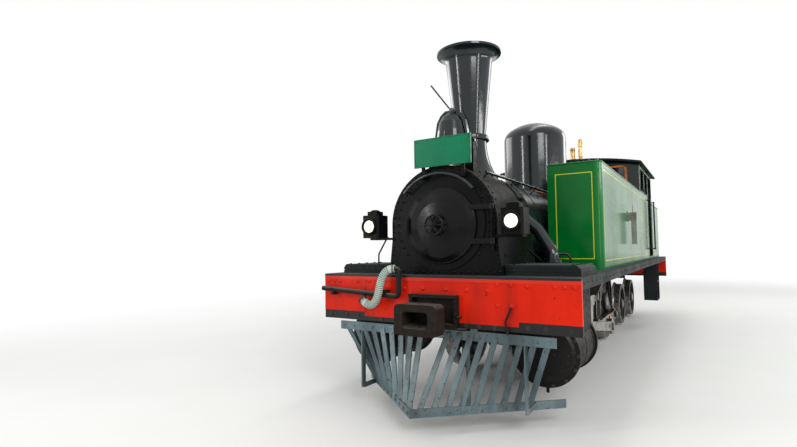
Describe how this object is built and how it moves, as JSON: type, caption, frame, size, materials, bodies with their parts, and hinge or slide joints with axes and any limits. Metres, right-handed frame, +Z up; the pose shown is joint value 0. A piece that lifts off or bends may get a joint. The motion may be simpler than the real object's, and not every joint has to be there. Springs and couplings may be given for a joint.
{
  "type": "side-tank steam locomotive",
  "caption": "Narrow gauge side-tank steam locomotive with outside cylinders, a rear bogie, green tanks, a red front beam and a steel cowcatcher.",
  "frame": {"origin": "middle of the bounding box in plan, at the height of the wheel flanges lowest point, 28 mm below the rail top", "axes": "+X forward towards the smokebox, +Y to the left of the locomotive, +Z up"},
  "size_m": [9.6, 2.5, 3.548],
  "materials": {
    "green_paint": "gloss",
    "black_paint": "gloss",
    "black_matt": "satin",
    "red_paint": "gloss",
    "steel": "brushed",
    "dark_cast": "rough",
    "blue_grey_steel": "satin",
    "brass": "polished",
    "glass": "clear",
    "lamp_lens": "clear",
    "hose": "ribbed",
    "cream_paint": "satin"
  },
  "bodies": {
    "locomotive": {"main_frame": "black_matt", "running_boards": "black_paint", "end_platforms": "black_paint", "front_buffer_beam": "red_paint", "rear_buffer_beam": "red_paint", "beam_angles": "black_matt", "front_coupler": "dark_cast", "rear_coupler": "dark_cast", "cowcatcher": "blue_grey_steel", "axle_boxes": "dark_cast", "springs": "black_matt", "brake_gear": "black_matt", "left_cylinder": "black_paint", "right_cylinder": "black_paint", "slide_bars": "steel", "smokebox": "black_paint", "smokebox_saddle": "black_paint", "boiler": "black_paint", "chimney": "black_paint", "steam_dome": "black_paint", "safety_valve": "brass", "valve_chest_covers": "black_paint", "steam_pipes": "black_matt", "name_board": "green_paint", "front_brackets": "black_paint", "marker_lamps": "black_paint", "left_side_tank": "green_paint", "right_side_tank": "green_paint", "tank_bracket": "steel", "cab_front": "black_paint", "cab_rear": "black_paint", "left_cab_side": "green_paint", "right_cab_side": "green_paint", "cab_roof": "black_matt", "cab_floor": "black_matt", "coal_bunker": "green_paint", "backhead_fittings": "brass", "cab_steps": "black_matt", "window_frames": "brass", "window_glass": "glass", "handrails": "black_paint", "vacuum_pipe": "black_matt", "vacuum_hose": "hose"},
    "leading_wheelset": {"leading_wheelset": "black_matt"},
    "driving_wheelset": {"driving_wheelset": "black_matt"},
    "trailing_wheelset": {"trailing_wheelset": "black_matt"},
    "left_coupling_rod": {"left_coupling_rod": "steel"},
    "right_coupling_rod": {"right_coupling_rod": "steel"},
    "left_crosshead": {"left_crosshead": "steel"},
    "right_crosshead": {"right_crosshead": "steel"},
    "left_connecting_rod": {"left_connecting_rod": "steel"},
    "right_connecting_rod": {"right_connecting_rod": "steel"},
    "bogie": {"bogie_frame": "black_matt"},
    "front_bogie_wheelset": {"front_bogie_wheelset": "black_matt"},
    "rear_bogie_wheelset": {"rear_bogie_wheelset": "black_matt"},
    "smokebox_door": {"smokebox_door": "black_paint"},
    "bell": {"bell": "black_paint"},
    "left_tank_lid": {"left_tank_lid": "black_paint"},
    "right_tank_lid": {"right_tank_lid": "black_paint"}
  },
  "joints": [
    {"name": "driving_axle", "type": "hinge", "parent": "locomotive", "child": "driving_wheelset", "pos_m": [1, 0, 0.608], "axis": [0, 1, 0], "continuous": true},
    {"name": "leading_axle", "type": "hinge", "parent": "locomotive", "child": "leading_wheelset", "pos_m": [2.4, 0, 0.608], "axis": [0, 1, 0], "continuous": true},
    {"name": "trailing_axle", "type": "hinge", "parent": "locomotive", "child": "trailing_wheelset", "pos_m": [-0.4, 0, 0.608], "axis": [0, 1, 0], "continuous": true},
    {"name": "left_coupling_rod_pin", "type": "hinge", "parent": "driving_wheelset", "child": "left_coupling_rod", "pos_m": [0.77726, 0.69, 0.38526], "axis": [0, 1, 0], "continuous": true},
    {"name": "left_crosshead_slide", "type": "slide", "parent": "locomotive", "child": "left_crosshead", "axis": [1, 0, 0], "range_m": [-0.0765, 0.5535]},
    {"name": "left_small_end", "type": "hinge", "parent": "left_crosshead", "child": "left_connecting_rod", "pos_m": [2.34653, 0.865, 0.608], "axis": [0, 1, 0], "range_deg": [-3.38, 19.54]},
    {"name": "right_coupling_rod_pin", "type": "hinge", "parent": "driving_wheelset", "child": "right_coupling_rod", "pos_m": [1.22274, -0.69, 0.38526], "axis": [0, 1, 0], "continuous": true},
    {"name": "right_crosshead_slide", "type": "slide", "parent": "locomotive", "child": "right_crosshead", "axis": [1, 0, 0], "range_m": [-0.522, 0.108]},
    {"name": "right_small_end", "type": "hinge", "parent": "right_crosshead", "child": "right_connecting_rod", "pos_m": [2.79201, -0.865, 0.608], "axis": [0, 1, 0], "range_deg": [-3.38, 19.54]},
    {"name": "bogie_pivot", "type": "hinge", "parent": "locomotive", "child": "bogie", "pos_m": [-2.8, 0, 0.728], "axis": [0, 0, 1], "range_deg": [-4, 4]},
    {"name": "front_bogie_axle", "type": "hinge", "parent": "bogie", "child": "front_bogie_wheelset", "pos_m": [-2.1, 0, 0.403], "axis": [0, 1, 0], "continuous": true},
    {"name": "rear_bogie_axle", "type": "hinge", "parent": "bogie", "child": "rear_bogie_wheelset", "pos_m": [-3.5, 0, 0.403], "axis": [0, 1, 0], "continuous": true},
    {"name": "smokebox_door_hinge", "type": "hinge", "parent": "locomotive", "child": "smokebox_door", "pos_m": [4.215, 0.5, 1.708], "axis": [0, 0, 1], "range_deg": [0, 110]},
    {"name": "bell_pivot", "type": "hinge", "parent": "locomotive", "child": "bell", "pos_m": [3.93, 0, 2.518], "axis": [0, 1, 0], "range_deg": [-20, 20]},
    {"name": "left_tank_lid_hinge", "type": "hinge", "parent": "locomotive", "child": "left_tank_lid", "pos_m": [1.82, 0.8585, 2.482], "axis": [0, -1, 0], "range_deg": [0, 110]},
    {"name": "right_tank_lid_hinge", "type": "hinge", "parent": "locomotive", "child": "right_tank_lid", "pos_m": [1.82, -0.8585, 2.482], "axis": [0, -1, 0], "range_deg": [0, 110]}
  ],
  "couplings": [
    {"joint": "leading_axle", "follows": "driving_axle", "ratio": 1},
    {"joint": "trailing_axle", "follows": "driving_axle", "ratio": 1},
    {"joint": "left_coupling_rod_pin", "follows": "driving_axle", "ratio": -1},
    {"joint": "right_coupling_rod_pin", "follows": "driving_axle", "ratio": -1}
  ]
}
